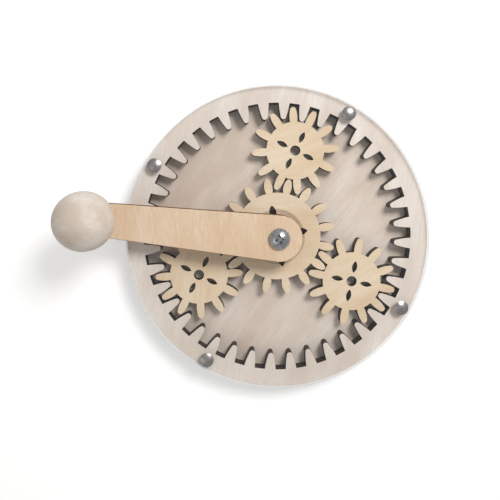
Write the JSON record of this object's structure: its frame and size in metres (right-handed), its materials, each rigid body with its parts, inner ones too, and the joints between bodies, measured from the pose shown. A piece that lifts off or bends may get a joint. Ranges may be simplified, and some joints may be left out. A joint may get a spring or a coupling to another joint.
{
  "type": "hand-cranked planetary gear toy",
  "caption": "Round plywood planetary gear set under a clear acrylic cover, turned by a wooden crank arm with a ball knob.",
  "frame": {"origin": "centre of the flat back face, on the gear axis", "axes": "+Z along the gear axis from the back face out through the clear cover; +X to the right with the crank arm at rest reaching along about -X; +Y up the face"},
  "size_m": [0.177, 0.15, 0.0503],
  "materials": {
    "pale_plywood": "sanded birch plywood, laser-charred edges",
    "gear_plywood": "sanded birch plywood, warmer face veneer",
    "arm_plywood": "sanded birch plywood, fine straight grain",
    "turned_wood": "turned and sanded, unvarnished",
    "clear_acrylic": "clear cast sheet, polished edge",
    "zinc_steel": "bright zinc plate",
    "nickel_steel": "smooth nickel plate",
    "brass": "machined",
    "nylon": "natural nylon"
  },
  "bodies": {
    "housing": {"base_disc": "pale_plywood", "ring_gear": "pale_plywood", "cover_disc": "clear_acrylic", "axle_bolt": "zinc_steel", "axle_sleeve": "brass", "tee_nut": "zinc_steel", "rim_posts": "nickel_steel", "rim_post_screws": "nickel_steel"},
    "crank": {"crank_arm": "arm_plywood", "hub_spacer": "gear_plywood", "sun_gear": "gear_plywood", "drive_dowels": "turned_wood"},
    "planet_orbit": {"slip_washer": "nylon"},
    "planet_1": {"planet_gear_1": "gear_plywood"},
    "planet_2": {"planet_gear_2": "gear_plywood"},
    "planet_3": {"planet_gear_3": "gear_plywood"},
    "knob": {"knob": "turned_wood", "knob_insert": "brass", "knob_sleeve": "brass", "knob_upper_washer": "zinc_steel", "knob_lower_washer": "zinc_steel", "knob_screw": "zinc_steel"}
  },
  "joints": [
    {"name": "crank_turn", "type": "hinge", "parent": "housing", "child": "crank", "pos_m": [0, 0, 0], "axis": [0, 0, 1], "continuous": true},
    {"name": "planets_orbit", "type": "hinge", "parent": "housing", "child": "planet_orbit", "pos_m": [0, 0, 0], "axis": [0, 0, 1], "continuous": true},
    {"name": "planet_1_spin", "type": "hinge", "parent": "planet_orbit", "child": "planet_1", "pos_m": [0.00912, 0.04279, 0], "axis": [0, 0, 1], "continuous": true},
    {"name": "planet_2_spin", "type": "hinge", "parent": "planet_orbit", "child": "planet_2", "pos_m": [-0.03914, -0.01955, 0], "axis": [0, 0, 1], "continuous": true},
    {"name": "planet_3_spin", "type": "hinge", "parent": "planet_orbit", "child": "planet_3", "pos_m": [0.03738, -0.02274, 0], "axis": [0, 0, 1], "continuous": true},
    {"name": "knob_spin", "type": "hinge", "parent": "crank", "child": "knob", "pos_m": [-0.08851, 0.0093, 0], "axis": [0, 0, 1], "continuous": true}
  ],
  "couplings": [
    {"joint": "planets_orbit", "follows": "crank_turn", "ratio": 0.28571},
    {"joint": "planet_1_spin", "follows": "crank_turn", "ratio": -0.95238},
    {"joint": "planet_2_spin", "follows": "crank_turn", "ratio": -0.95238},
    {"joint": "planet_3_spin", "follows": "crank_turn", "ratio": -0.95238}
  ]
}
